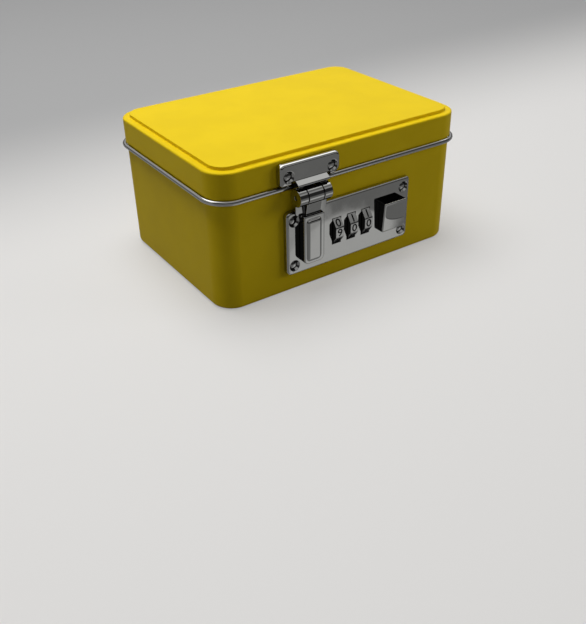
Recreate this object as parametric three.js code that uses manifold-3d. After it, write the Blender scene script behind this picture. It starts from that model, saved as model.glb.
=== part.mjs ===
// Medication lock box: a hinged, painted tin with a combination hasp lock on its front.
// Millimetres, +Z up, front towards -Y. The origin is the middle of the flat base.

import * as THREE from 'three';
import { mergeVertices } from 'three/addons/utils/BufferGeometryUtils.js';
import Module from 'manifold-3d';

const wasm = await Module();
wasm.setup();

// Tin box
const boxWidth = 160;
const boxDepth = 113;
const seamHeight = 62.8; // from the base to the middle of the bright bead
const lidHeight = 15.5; // from the bead's middle to the lid's rim
const panelRise = 1.8; // raised middle of the lid, above the rim
const panelInset = 4.1; // from the lid's side to the raised middle
const panelChamfer = 0.8;
const cornerRadius = 12.5;
const sheetThickness = 0.8;
const baseEdgeRadius = 2.5;
const rimEdgeRadius = 1.5;
const lidReach = 0.85; // of the lid's sides, past the body's
const beadRadius = 1.3;
const beadReach = 1.45; // of the bead's middle, past the body's sides
const beadGap = 0.3; // above the bead
const shoulderDrop = 0.7; // of the body's shoulder, below the bead's middle
const collarHeight = 4.1; // the body's neck inside the lid, above the bead's middle
const collarGap = 1.2; // between that neck and the inside of the lid

// Rear hinges, which turn on the line of the bead
const hingeInset = 34; // from the box's side to the middle of the hinge nearest to it
const hingeSpread = boxWidth / 2 - hingeInset;
const strapWidth = 14;
const strapDrop = 13; // below the hinge line
const strapThickness = 0.6;
const hingePinRadius = 0.55;
const hingePinSeat = 3; // how far each end of a pin goes into the bead
const stopReach = 2.4; // from the hinge line to the shoulder that stops the lid
const stopAngle = 108.5; // of that shoulder, from upright over the rear
const hingeRivetDrop = 8;
const hingeRivetSpread = 7;

// Lock case: a cast plate on the front with a chamber behind it
const lockX = 0.4;
const lockDrop = 32.35; // from the seam down to the middle of the plate
const lockZ = seamHeight - lockDrop;
const plateWidth = 84;
const plateHeight = 37.3;
const plateThickness = 3.3;
const plateCorner = 2.8;
const plateEdgeRadius = 1.4;
const chamberInset = 7.5; // from each end of the plate
const chamberEdge = 2.6; // from its upper and lower edges
const chamberWidth = plateWidth - chamberInset * 2;
const chamberHeight = plateHeight - chamberEdge * 2;
const chamberDepth = 14.5; // behind the box's front face
const chamberWall = 1.2;
const faceWall = 1.5; // of the plate in front of the chamber
const coverThickness = 0.8;
const coverScrewInset = 3;
const bossRadius = 2;
const bossLength = 7;

// Number wheels
const wheelCount = 3;
const wheelSides = 10;
const wheelPitch = 10;
const wheelWidth = 5.3;
const wheelFlat = 9; // from the axle's middle to a flat
const wheelMiddle = 0.55; // of the row of wheels, from the middle of the plate
const axleBehind = 2.5; // behind the box's front face
const axleRise = -0.25; // above the middle of the plate
const axleRadius = 1.3;
const sleeveRadius = 2.4;
const camRadius = 3.9;
const camThickness = 0.9;
const nickRadius = 0.35;
const gateWidth = 1.6;
const lugWallThickness = 1.5;
const lugHeight = 10;
const lugDepth = 6.5; // of the axle lugs, behind the box's front face

// Push button and bolt
const buttonWidth = 15.7;
const buttonHeight = 17.9;
const buttonX = 28.1; // the button's middle, from the middle of the plate
const buttonZ = -0.35; // the button's middle, above the middle of the plate
const buttonRise = 5.2; // of its upper edge, above the plate
const buttonFall = 1.4; // how much lower its lower edge is
const buttonTravel = 3;
const buttonEdge = 0.6;
const scoopX = 4.7; // the thumb scoop's middle, from the button's middle
const scoopZ = 1.8;
const scoopHalfWide = 12.1;
const scoopHalfHigh = 6.8;
const scoopDepth = 1.2;
const stemWidth = 4;
const stemHeight = 7;
const boltThickness = 1.2;
const boltBehind = 0.5; // behind the box's front face
const boltBar = 3.6;
const boltLeg = 2.8;
const tongueHeight = 2.6;
const springWire = 0.5;
const springRadius = 1.5;
const springTurns = 9;
const springLength = 15.8;

// Hasp: a strike on the lid and a flap that hangs over the plate
const haspX = -27.1;
const strikeWidth = 37.2;
const strikeHeight = 12.1;
const strikeLift = 1.95; // of its lower edge, above the bead's middle
const strikeFace = 5; // in front of the box
const strikeEdge = 1.6;
const strikeHoleSpread = 27.1;
const strikeHoleRise = 5;
const hoodWidth = 19.6;
const hoodReach = 8; // of its lip, in front of the box
const notchWidth = 2.4;
const notchHeight = 2.3;
const barrelRadius = 4.8;
const barrelReach = 5.6; // of the hinge line, in front of the box
const barrelDrop = 5.1; // of the hinge line, below the bead's middle
const barrelLength = 20.3;
const middleKnuckle = 9.5;
const haspPinRadius = 1.1;
const flapWidth = 13.1;
const flapTopDrop = 11; // of its upper edge, below the hinge line
const flapBottomDrop = 12.05; // of its lower edge, below the middle of the lock plate
const flapReach = 8; // in front of the box
const flapCorner = 3;
const pillowInset = 2;
const pillowRise = 0.9;
const earWidth = 19.8;
const earReach = 5;
const earTopDrop = 5.1; // below the hinge line
const earHeight = 5.7;
const bandDent = 1; // of the band's face over the tongue, in front of the hinge line
const stapleWidth = 3.4;
const stapleDrop = 7.9; // of its lower side, below the middle of the lock plate
const stapleHeight = 6;
const stapleBehind = 3.2; // its tip, behind the box's front face

// Rivets and screws
const plateRivetX = plateWidth / 2 - 4.7;
const plateRivetZ = plateHeight / 2 - 5.45;
const sinkRadius = 3.25;
const sinkDepth = 1.5;
const shankRadius = 1.6;
const tailRadius = 2;
const tailLength = 1;
const smallShank = 0.8;
const smallHead = 1.5;
const smallHeadHeight = 0.7;
const screwRadius = 1;
const screwHead = 1.8;
const screwHeadHeight = 1.1;
const crossWidth = 0.5;

// Clearances
const seat = 0.05; // the film of paint under a piece that lies on the tin
const slip = 0.3; // between pieces that move, and around a fixed pin or shank

// Facets
const cornerSteps = 8;
const roundSteps = 24;
const smallSteps = 16;

const outward = new THREE.Vector3(0, -1, 0);
const right = new THREE.Vector3(1, 0, 0);
const up = new THREE.Vector3(0, 0, 1);
const rearward = new THREE.Vector3(0, 1, 0);

const yellowPaint = finish(0xd9b80a, 0.35, 0.1);
const brightTin = finish(0xc9c9c6, 0.25, 1);
const chromeCasting = finish(0xb9b9bb, 0.12, 1);
const wheelChrome = finish(0xc4c4c4, 0.2, 1);
const blackZinc = finish(0x2a2a2c, 0.5, 0.6);
const springSteel = finish(0x8d8f92, 0.35, 1);
const brassSleeve = finish(0xb39a5c, 0.4, 1);

function finish(color, roughness, metalness) {
  return new THREE.MeshStandardMaterial({ color, roughness, metalness });
}

const radians = THREE.MathUtils.degToRad;

// A closed geometry with its shared vertices merged, as a solid that can be cut and joined.
function solidOf(geometry) {
  const plain = geometry.clone();
  plain.deleteAttribute('normal');
  plain.deleteAttribute('uv');
  const merged = mergeVertices(plain, 1e-5);
  return new wasm.Manifold(new wasm.Mesh({
    numProp: 3,
    vertProperties: new Float32Array(merged.attributes.position.array),
    triVerts: new Uint32Array(merged.index.array),
  }));
}

function geometryOf(solid) {
  const mesh = solid.getMesh();
  const geometry = new THREE.BufferGeometry();
  geometry.setAttribute('position', new THREE.BufferAttribute(new Float32Array(mesh.vertProperties), 3));
  geometry.setIndex(new THREE.BufferAttribute(new Uint32Array(mesh.triVerts), 1));
  geometry.computeVertexNormals();
  return geometry;
}

function joined(...solids) {
  return solids.reduce((whole, next) => whole.add(next));
}

function cut(solid, ...cutters) {
  return cutters.reduce((rest, cutter) => rest.subtract(cutter), solid);
}

// A box between two opposite corners.
function block(low, high) {
  const size = high.map((value, axis) => value - low[axis]);
  const middle = high.map((value, axis) => (value + low[axis]) / 2);
  return solidOf(new THREE.BoxGeometry(...size).translate(...middle));
}

// A box on the front of the tin: across, out from the face, and up.
function frontBlock([left, rightSide], [near, far], [bottom, top]) {
  return block([left, -far, bottom], [rightSide, -near, top]);
}

// A round bar that runs along X.
function barAlongX(radius, from, to, y, z, steps = roundSteps) {
  const bar = new THREE.CylinderGeometry(radius, radius, to - from, steps);
  bar.rotateZ(Math.PI / 2);
  bar.translate((from + to) / 2, y, z);
  return solidOf(bar);
}

// A turned piece whose axis points out of the front: pairs of radius and distance out.
function turned(profile, steps = smallSteps) {
  const points = profile.map(([radius, out]) => new THREE.Vector2(radius, out));
  return solidOf(new THREE.LatheGeometry(points, steps).rotateX(Math.PI));
}

// An outline in the plane of two directions, pushed along their cross product.
function extruded(outline, length, across, upward, start) {
  const geometry = new THREE.ExtrudeGeometry(new THREE.Shape(outline), {
    depth: length, bevelEnabled: false, curveSegments: smallSteps,
  });
  const along = new THREE.Vector3().crossVectors(across, upward);
  geometry.applyMatrix4(new THREE.Matrix4().makeBasis(across, upward, along).setPosition(...start));
  return solidOf(geometry);
}

// A side view, given as pairs of distance out and height, pushed from x = to back to x = from.
function sideProfile(pairs, from, to) {
  const outline = pairs.map(([out, height]) => new THREE.Vector2(out, height));
  return extruded(outline, to - from, outward, up, [to, 0, 0]);
}

// A front view, given as pairs of across and height, pushed out from near to far.
function frontProfile(pairs, near, far) {
  const outline = pairs.map(([x, z]) => new THREE.Vector2(x, z));
  return extruded(outline, far - near, right, up, [0, -near, 0]);
}

// The points of a rounded rectangle, counter-clockwise from its upper right corner.
function roundedLoop(halfAcross, halfUp, radii) {
  const corners = [[1, 1], [-1, 1], [-1, -1], [1, -1]];
  return corners.flatMap(([sideways, upright], corner) => {
    const radius = Math.max(radii[corner], 0.2);
    const middle = [sideways * (halfAcross - radius), upright * (halfUp - radius)];
    return Array.from({ length: cornerSteps + 1 }, (_, step) => {
      const angle = radians(90 * (corner + step / cornerSteps));
      return [middle[0] + radius * Math.cos(angle), middle[1] + radius * Math.sin(angle)];
    });
  });
}

// A skin over rings with equal numbers of points. An open row of rings is closed by flat ends.
function loft(rings, endless = false) {
  const count = rings[0].length;
  const points = rings.flat();
  const faces = [];
  const spans = endless ? rings.length : rings.length - 1;
  for (let ring = 0; ring < spans; ring += 1) {
    const here = ring * count;
    const next = ((ring + 1) % rings.length) * count;
    for (let step = 0; step < count; step += 1) {
      const after = (step + 1) % count;
      faces.push(here + step, here + after, next + after);
      faces.push(here + step, next + after, next + step);
    }
  }
  if (!endless) {
    const lastRing = (rings.length - 1) * count;
    const firstHub = points.push(middleOf(rings[0])) - 1;
    const lastHub = points.push(middleOf(rings.at(-1))) - 1;
    for (let step = 0; step < count; step += 1) {
      const after = (step + 1) % count;
      faces.push(firstHub, after, step);
      faces.push(lastHub, lastRing + step, lastRing + after);
    }
  }
  const geometry = new THREE.BufferGeometry();
  geometry.setAttribute('position', new THREE.Float32BufferAttribute(points.flat(), 3));
  geometry.setIndex(signedVolume(points, faces) < 0 ? faces.reverse() : faces);
  return solidOf(geometry);
}

function middleOf(ring) {
  return [0, 1, 2].map((axis) => ring.reduce((sum, point) => sum + point[axis], 0) / ring.length);
}

function signedVolume(points, faces) {
  let volume = 0;
  for (let face = 0; face < faces.length; face += 3) {
    const [a, b, c] = [0, 1, 2].map((corner) => new THREE.Vector3(...points[faces[face + corner]]));
    volume += a.dot(b.cross(c)) / 6;
  }
  return volume;
}

// Rings that follow the tin's outline: pairs of distance in from its side and height.
function tinRings(profile) {
  return profile.map(([inset, height]) => {
    const radius = cornerRadius - inset;
    const loop = roundedLoop(boxWidth / 2 - inset, boxDepth / 2 - inset, [radius, radius, radius, radius]);
    return loop.map(([x, y]) => [x, y, height]);
  });
}

// A plate that lies on the front: rings of a rounded rectangle at pairs of inset and distance out.
function frontPlate(halfAcross, halfUp, radii, profile, middleX = 0, middleZ = 0) {
  return loft(profile.map(([inset, out]) => {
    const loop = roundedLoop(halfAcross - inset, halfUp - inset, radii.map((radius) => radius - inset));
    return loop.map(([x, z]) => [middleX + x, -out, middleZ + z]);
  }));
}

// Pairs of inset and distance out for a plate whose front edge is rounded.
function roundedEdge(near, far, radius, steps = 3) {
  const edge = Array.from({ length: steps + 1 }, (_, step) => {
    const angle = radians(90 * (step / steps));
    return [radius * (1 - Math.cos(angle)), far - radius * (1 - Math.sin(angle))];
  });
  return [[0, near], ...edge];
}

// A quarter circle of profile points about a middle, from one angle to another.
function arc([middleInset, middleHeight], radius, from, to, steps) {
  return Array.from({ length: steps + 1 }, (_, step) => {
    const angle = radians(from + ((to - from) * step) / steps);
    return [middleInset + radius * Math.cos(angle), middleHeight + radius * Math.sin(angle)];
  });
}

// The profile of a sheet whose outer side is given: out along that side and back along its inner one,
// which lies on the left of the way out where the thickness is positive.
function sheetProfile(outer, thickness) {
  const normals = outer.slice(1).map(([inset, height], index) => {
    const run = [inset - outer[index][0], height - outer[index][1]];
    const length = Math.hypot(...run);
    return [run[1] / length, -run[0] / length];
  });
  const inner = outer.map(([inset, height], index) => {
    const before = normals[Math.max(index - 1, 0)];
    const after = normals[Math.min(index, normals.length - 1)];
    const reach = thickness / (1 + before[0] * after[0] + before[1] * after[1]);
    return [inset + (before[0] + after[0]) * reach, height + (before[1] + after[1]) * reach];
  });
  return [...outer, ...inner.reverse()];
}

const halfDepth = boxDepth / 2;
const rimHeight = seamHeight + lidHeight;
const topHeight = rimHeight + panelRise;
const shoulderHeight = seamHeight - shoulderDrop;
const skirtHeight = seamHeight + beadRadius + beadGap;
const collarInset = sheetThickness + collarGap - lidReach;
const hingeY = halfDepth + beadReach;

// A rivet through a countersunk plate and a wall of the tin: its head lies below the plate's face,
// its tail behind the wall.
function sunkRivet(plateFace, wallFace) {
  const headFace = plateFace - sinkDepth * 0.45;
  const headFoot = plateFace - sinkDepth - slip / 2;
  const headRadius = sinkRadius - slip - sinkDepth * 0.45;
  const inside = wallFace - sheetThickness - seat;
  return turned([
    [0, headFace], [headRadius, headFace], [shankRadius, headFoot],
    [shankRadius, inside], [tailRadius, inside], [tailRadius * 0.8, inside - tailLength],
    [0, inside - tailLength],
  ].reverse());
}

// The hole for such a rivet, as a cutter.
function sunkHole(plateFace) {
  const holeRadius = shankRadius + slip;
  return turned([
    [0, -sheetThickness * 2], [holeRadius, -sheetThickness * 2], [holeRadius, plateFace - sinkDepth],
    [sinkRadius, plateFace], [sinkRadius, plateFace + 1], [0, plateFace + 1],
  ]);
}

const plateRivetPlaces = [[-1, -1], [1, -1], [1, 1], [-1, 1]].map(
  ([sideways, upright]) => [lockX + sideways * plateRivetX, lockZ + upright * plateRivetZ],
);
const strikeBottom = seamHeight + strikeLift;
const strikeRivetPlaces = [-1, 1].map(
  (sideways) => [haspX + (sideways * strikeHoleSpread) / 2, strikeBottom + strikeHoleRise],
);
const hingeRivetPlaces = [-1, 1].flatMap((hinge) => [-1, 1].map(
  (sideways) => [hinge * hingeSpread + (sideways * hingeRivetSpread) / 2, seamHeight - hingeRivetDrop],
));

// The body: one drawn pan with a rounded lower edge and a neck that goes up into the lid.
function bodyTub() {
  const outer = [
    [baseEdgeRadius + 2, 0],
    ...arc([baseEdgeRadius, baseEdgeRadius], baseEdgeRadius, 270, 180, 4),
    [0, shoulderHeight - sheetThickness],
    [sheetThickness / 2, shoulderHeight],
    [collarInset, shoulderHeight],
    [collarInset, seamHeight + collarHeight],
  ];
  const shell = loft(tinRings(sheetProfile(outer, sheetThickness)));
  const opening = block(
    [lockX - chamberWidth / 2 - slip, -halfDepth - 1, lockZ - chamberHeight / 2 - slip],
    [lockX + chamberWidth / 2 + slip, -halfDepth + sheetThickness * 2, lockZ + chamberHeight / 2 + slip],
  );
  const frontHoles = plateRivetPlaces.map(([x, z]) => sunkHole(plateThickness).translate(x, -halfDepth, z));
  const rearHoles = hingeRivetPlaces.map(([x, z]) => wallHole(smallShank + slip, x, halfDepth, z));
  return cut(shell, opening, ...frontHoles, ...rearHoles);
}

// A cutter for a round hole through the front or rear wall.
function wallHole(radius, x, y, z) {
  return turned([
    [0, -sheetThickness * 2], [radius, -sheetThickness * 2], [radius, sheetThickness * 2],
    [0, sheetThickness * 2],
  ]).translate(x, y, z);
}

// The lid: a drawn cover with a flat rim round a raised middle.
function lidShell() {
  const outer = [
    [panelInset + panelChamfer + 2, topHeight],
    [panelInset + panelChamfer, topHeight],
    [panelInset, topHeight - panelChamfer],
    [panelInset, rimHeight + panelChamfer / 2],
    [panelInset - panelChamfer / 2, rimHeight],
    ...arc([rimEdgeRadius, rimHeight - rimEdgeRadius], rimEdgeRadius, 90, 180, 4),
    [0, skirtHeight],
  ].map(([inset, height]) => [inset - lidReach, height]);
  const shell = loft(tinRings(sheetProfile(outer, -sheetThickness)));
  const holes = strikeRivetPlaces.map(([x, z]) => wallHole(shankRadius + slip, x, -halfDepth - lidReach, z));
  return cut(shell, ...holes);
}

// The bright bead on the lid's lower edge, left open where the hinge knuckles pass, so that it is
// one long piece round the front and sides and a short one between the hinges.
function lidBeads() {
  const section = arc([-beadReach, seamHeight], beadRadius, 0, 324, 9);
  const ring = loft(tinRings(section), true);
  const halfOpening = strapWidth / 2 + slip;
  const rearBlock = (halfWidth) => block(
    [-halfWidth, hingeY - beadRadius * 2, seamHeight - beadRadius * 2],
    [halfWidth, hingeY + beadRadius * 2, seamHeight + beadRadius * 2],
  );
  const bores = [-1, 1].map((side) => barAlongX(
    hingePinRadius + slip / 2,
    side * hingeSpread - halfOpening - hingePinSeat - slip,
    side * hingeSpread + halfOpening + hingePinSeat + slip,
    hingeY, seamHeight, smallSteps,
  ));
  const bored = cut(ring, ...bores);
  return {
    round: bored.subtract(rearBlock(hingeSpread + halfOpening)),
    rear: bored.intersect(rearBlock(hingeSpread - halfOpening)),
  };
}

function hingePin() {
  const half = strapWidth / 2 + slip + hingePinSeat;
  return barAlongX(hingePinRadius, -half, half, 0, 0, smallSteps);
}

// A hinge strap, from the hinge line: a leaf on the back of the body, a shoulder that stops the lid
// and a knuckle.
function hingeStrap() {
  const half = strapWidth / 2;
  const bore = hingePinRadius + slip / 2;
  const shoulder = (reach) => [
    reach * Math.sin(radians(stopAngle)), reach * Math.cos(radians(stopAngle)),
  ];
  const [stopX, stopZ] = shoulder(stopReach);
  const leafBack = seat - beadReach;
  const leafFace = leafBack + strapThickness;
  const leaf = [
    [leafBack, -strapDrop], [leafFace, -strapDrop],
    [leafFace, stopZ - stopX + leafFace], [stopX, stopZ - strapThickness / 2], [stopX, stopZ],
    shoulder(beadRadius), [leafBack, 0],
  ].map(([out, height]) => new THREE.Vector2(out, height));
  const body = extruded(leaf, strapWidth, rearward, up, [-half, 0, 0]);
  const knuckle = barAlongX(beadRadius, -half, half, 0, 0);
  const holes = [-1, 1].map((side) => turned([
    [0, -strapThickness * 3], [smallShank + slip / 2, -strapThickness * 3],
    [smallShank + slip / 2, strapThickness], [0, strapThickness],
  ]).translate((side * hingeRivetSpread) / 2, -beadReach, -hingeRivetDrop));
  return cut(joined(body, knuckle), barAlongX(bore, -half - 1, half + 1, 0, 0, smallSteps), ...holes);
}

// A small domed rivet that clamps a strap to the rear wall. Its profile runs from inside to outside.
function hingeRivet() {
  const inside = sheetThickness + seat;
  const face = seat * 2 + strapThickness;
  const profile = [
    [0, -inside - smallHeadHeight], [smallHead * 0.8, -inside - smallHeadHeight], [smallHead, -inside],
    [smallShank, -inside], [smallShank, face], [smallHead, face],
    [smallHead * 0.75, face + smallHeadHeight * 0.7], [0, face + smallHeadHeight],
  ];
  const points = profile.map(([radius, out]) => new THREE.Vector2(radius, out));
  return solidOf(new THREE.LatheGeometry(points, smallSteps));
}

const chamberBack = -chamberDepth;
const chamberInner = {
  side: chamberWidth / 2 - chamberWall,
  edge: chamberHeight / 2 - chamberWall,
  front: plateThickness - faceWall,
};
const wheelCorner = wheelFlat / Math.cos(Math.PI / wheelSides);
const wheelPlaces = Array.from(
  { length: wheelCount },
  (_, index) => wheelMiddle + (index - (wheelCount - 1) / 2) * wheelPitch,
);
const rowHalf = ((wheelCount - 1) / 2) * wheelPitch + wheelWidth / 2;
const camRoom = wheelPitch - wheelWidth;
const leftLug = wheelMiddle - rowHalf - camRoom + slip;
const rightLug = wheelMiddle + rowHalf + camRoom / 2;
const screwPlaces = [[-1, -1], [1, -1], [1, 1], [-1, 1]].map(([sideways, upright]) => [
  sideways * (chamberWidth / 2 - coverScrewInset), upright * (chamberHeight / 2 - coverScrewInset),
]);

// Places in the lock, from the middle of its plate on the box's front face
const flapX = haspX - lockX;
const stapleSide = flapX + stapleWidth / 2;
const slotHalf = stapleWidth / 2 + slip;
const stemX = buttonX - buttonTravel + slip;
const barBottom = axleRise + wheelCorner + slip * 2;
const barTop = barBottom + boltBar;
const tongueZ = stapleHeight / 2 - stapleDrop;
const boltLeft = stapleSide + slip * 4;
const springZ = axleRise - wheelCorner - slip * 3 - springRadius - springWire / 2;
const springSeat = boltLeft + boltLeg + slip + springLength + slip;

// The cast plate with the chamber behind it, its windows, slots and axle lugs.
function lockHousing() {
  const plate = frontPlate(
    plateWidth / 2, plateHeight / 2, [plateCorner * 0.6, plateCorner, plateCorner, plateCorner],
    roundedEdge(seat, plateThickness, plateEdgeRadius),
  );
  const chamber = frontBlock(
    [-chamberWidth / 2, chamberWidth / 2], [chamberBack, plateThickness / 2],
    [-chamberHeight / 2, chamberHeight / 2],
  );
  const hollow = frontBlock(
    [-chamberInner.side, chamberInner.side], [chamberBack - 1, chamberInner.front],
    [-chamberInner.edge, chamberInner.edge],
  );
  const lugs = [leftLug - lugWallThickness, rightLug].map((x) => frontBlock(
    [x, x + lugWallThickness], [-lugDepth, chamberInner.front + faceWall / 2],
    [axleRise - lugHeight / 2, axleRise + lugHeight / 2],
  ));
  const springRib = frontBlock(
    [springSeat, springSeat + chamberWall], [-boltBehind - boltThickness * 2, chamberInner.front + faceWall / 2],
    [-chamberInner.edge - chamberWall / 2, springZ + springRadius],
  );
  const bosses = screwPlaces.map(([x, z]) => turned([
    [0, chamberBack], [bossRadius, chamberBack], [bossRadius, chamberBack + bossLength],
    [0, chamberBack + bossLength],
  ]).translate(x, 0, z));
  const axleHole = barAlongX(
    axleRadius + slip / 2, leftLug - lugWallThickness - 1, rightLug + lugWallThickness + 1,
    axleBehind, axleRise,
  );
  const windows = wheelPlaces.map((x) => barAlongX(
    wheelCorner + slip, x - wheelWidth / 2 - slip, x + wheelWidth / 2 + slip, axleBehind, axleRise, 48,
  ));
  const stapleSlot = frontBlock(
    [flapX - slotHalf, flapX + slotHalf], [chamberInner.front - 1, plateThickness + 1],
    [-stapleDrop - slip * 4, chamberInner.edge],
  );
  const stapleGroove = frontBlock(
    [flapX - slotHalf, flapX + slotHalf], [seat + slip, plateThickness + 1],
    [chamberInner.edge - 1, plateHeight],
  );
  const stemSlot = frontBlock(
    [stemX - stemWidth / 2 - slip, stemX + stemWidth / 2 + buttonTravel + slip],
    [chamberInner.front - 1, plateThickness + 1],
    [buttonZ - stemHeight / 2 - slip, buttonZ + stemHeight / 2 + slip],
  );
  const rivetHoles = plateRivetPlaces.map(([x, z]) => (
    sunkHole(plateThickness).translate(x - lockX, 0, z - lockZ)
  ));
  const pilots = screwPlaces.map(([x, z]) => turned([
    [0, chamberBack - 1], [screwRadius + slip / 2, chamberBack - 1],
    [screwRadius + slip / 2, chamberBack + bossLength - 1], [0, chamberBack + bossLength - 1],
  ]).translate(x, 0, z));
  const shell = joined(cut(joined(plate, chamber), hollow), ...lugs, springRib, ...bosses);
  return cut(
    shell, axleHole, ...windows, stapleSlot, stapleGroove, stemSlot, ...rivetHoles, ...pilots,
  );
}

// The pressed cover that closes the chamber inside the tin.
function backCover() {
  const cover = frontPlate(
    chamberWidth / 2, chamberHeight / 2, [2, 2, 2, 2],
    [[0, chamberBack - seat], [0, chamberBack - seat - coverThickness]],
  );
  const holes = screwPlaces.map(([x, z]) => turned([
    [0, chamberBack - coverThickness * 3], [screwRadius + slip / 2, chamberBack - coverThickness * 3],
    [screwRadius + slip / 2, chamberBack + 1], [0, chamberBack + 1],
  ]).translate(x, 0, z));
  return cut(cover, ...holes);
}

// A pan-head screw that holds the cover, with a cross recess.
function coverScrew() {
  const underHead = chamberBack - seat * 2 - coverThickness;
  const tip = chamberBack + bossLength - 1 - slip;
  const screw = turned([
    [0, underHead - screwHeadHeight], [screwHead * 0.6, underHead - screwHeadHeight],
    [screwHead, underHead - screwHeadHeight * 0.4], [screwHead, underHead],
    [screwRadius, underHead], [screwRadius, tip - 0.5], [screwRadius / 2, tip], [0, tip],
  ]);
  const arm = screwHead * 0.6;
  const slots = [[arm, crossWidth / 2], [crossWidth / 2, arm]].map(([across, high]) => block(
    [-across, -underHead + screwHeadHeight * 0.5, -high], [across, -underHead + screwHeadHeight * 2, high],
  ));
  return cut(screw, ...slots);
}

// A ten-sided number wheel whose corners are nicked for the fingertip.
function numberWheel() {
  const blank = new THREE.CylinderGeometry(wheelCorner, wheelCorner, wheelWidth, wheelSides);
  blank.rotateZ(Math.PI / 2);
  const bore = barAlongX(sleeveRadius + slip / 2, -wheelWidth, wheelWidth, 0, 0);
  const nicks = Array.from({ length: wheelSides }, (_, side) => {
    const angle = radians(((side + 0.5) * 360) / wheelSides);
    return barAlongX(
      nickRadius, -wheelWidth, wheelWidth, wheelCorner * Math.cos(angle), wheelCorner * Math.sin(angle), 6,
    );
  });
  return cut(solidOf(blank), bore, ...nicks);
}

// The code sleeve inside a wheel, with the cam disc beside it and the gate that its code lines up.
function codeSleeve() {
  const left = -wheelWidth / 2 - camRoom + slip * 2;
  const tube = joined(
    barAlongX(sleeveRadius, left, wheelWidth / 2 - slip, 0, 0),
    barAlongX(camRadius, left + slip, left + slip + camThickness, 0, 0),
  );
  const gate = block(
    [left - 1, -gateWidth / 2, sleeveRadius + slip], [left + camThickness * 2, gateWidth / 2, camRadius + 1],
  );
  return cut(tube, barAlongX(axleRadius + slip / 2, -wheelPitch, wheelPitch, 0, 0), gate);
}

function dialAxle() {
  return barAlongX(
    axleRadius, leftLug - lugWallThickness - slip, rightLug + lugWallThickness + slip, axleBehind, axleRise,
  );
}

// The leaf spring on the cover, with one bowed finger under each wheel that makes it click.
function detentSpring() {
  const foot = chamberBack + seat;
  const leafThickness = 0.4;
  const crest = -axleBehind - wheelCorner - slip;
  const base = frontBlock(
    [wheelMiddle - rowHalf, wheelMiddle + rowHalf], [foot, foot + leafThickness],
    [axleRise - lugHeight / 2, axleRise - lugHeight / 4],
  );
  const fingers = wheelPlaces.map((x) => sideProfile([
    [foot, axleRise - lugHeight / 2], [foot + leafThickness, axleRise - lugHeight / 2],
    [crest, axleRise - 1], [crest, axleRise + 1], [foot + leafThickness, axleRise + lugHeight / 2],
    [foot, axleRise + lugHeight / 2], [crest - leafThickness, axleRise + 0.6],
    [crest - leafThickness, axleRise - 0.6],
  ], x - wheelWidth * 0.35, x + wheelWidth * 0.35));
  return joined(base, ...fingers);
}

// The push button: a block whose face slopes back downwards, with a thumb scoop that runs out of
// its right side and a stem through the plate.
function pushButton() {
  const base = plateThickness + slip / 2;
  const topReach = plateThickness + buttonRise;
  const halfWide = buttonWidth / 2;
  const halfHigh = buttonHeight / 2;
  const leanBack = (z) => ((halfHigh - z) * buttonFall) / buttonHeight;
  const cap = loft(roundedEdge(base, topReach, buttonEdge).map(([inset, out]) => {
    const loop = roundedLoop(halfWide - inset, halfHigh - inset, Array(4).fill(buttonEdge - inset));
    return loop.map(([x, z]) => [x, -(out === base ? base : out - leanBack(z)), z]);
  }));
  const bowl = [[1, -1], [1, 0], [0.94, 0.5], [0.82, 0.8], [0.6, 1]];
  const scoop = loft(bowl.map(([scale, share]) => scoopLoop().map(([x, z]) => {
    const across = scoopX + x * scale;
    const upright = scoopZ + z * scale;
    const depth = share * scoopDepth * (0.5 + (across + halfWide) / (buttonWidth * 2));
    return [across, -(topReach - leanBack(upright) - depth), upright];
  })));
  const stem = frontBlock(
    [stemX - buttonX - stemWidth / 2, stemX - buttonX + stemWidth / 2], [-boltBehind + slip / 2, base + 1],
    [-stemHeight / 2, stemHeight / 2],
  );
  return joined(cut(cap, scoop), stem);
}

// The scoop's outline: half an ellipse below and square shoulders above.
function scoopLoop() {
  return Array.from({ length: roundSteps * 2 }, (_, step) => {
    const angle = radians((360 * step) / (roundSteps * 2));
    const fullness = Math.sin(angle) > 0 ? 0.4 : 1;
    const [across, upright] = [Math.cos(angle), Math.sin(angle)].map(
      (value) => Math.sign(value) * Math.abs(value) ** fullness,
    );
    return [scoopHalfWide * across, scoopHalfHigh * upright];
  });
}

// The bolt: a flat pressed frame that hangs on the button's stem, passes over the wheels and
// comes down to the tongue that holds the staple. Its foot pushes the return spring.
function slideBolt() {
  const rightLeg = stemX + boltLeg / 2;
  const leftLeg = boltLeft + boltLeg;
  const foot = springZ - springRadius;
  return frontProfile([
    [boltLeft, foot], [leftLeg, foot], [leftLeg, barBottom], [rightLeg - boltLeg, barBottom],
    [rightLeg - boltLeg, buttonZ - stemHeight / 2], [rightLeg, buttonZ - stemHeight / 2],
    [rightLeg, barTop], [boltLeft, barTop], [boltLeft, tongueZ + tongueHeight / 2],
    [stapleSide + slip, tongueZ + tongueHeight / 2], [stapleSide + slip, tongueZ - tongueHeight / 2],
    [boltLeft, tongueZ - tongueHeight / 2],
  ], -boltBehind - boltThickness, -boltBehind);
}

// The coil spring that brings the bolt and the button back.
class Helix extends THREE.Curve {
  getPoint(t) {
    const angle = t * springTurns * Math.PI * 2;
    return new THREE.Vector3(
      t * (springLength - springWire), springRadius * Math.cos(angle), springRadius * Math.sin(angle),
    );
  }
}

function returnSpring() {
  const wire = new THREE.Shape(Array.from({ length: 5 }, (_, side) => {
    const angle = radians(side * 72);
    return new THREE.Vector2((springWire / 2) * Math.cos(angle), (springWire / 2) * Math.sin(angle));
  }));
  return solidOf(new THREE.ExtrudeGeometry(wire, {
    steps: springTurns * 10, extrudePath: new Helix(), bevelEnabled: false,
  }));
}

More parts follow.
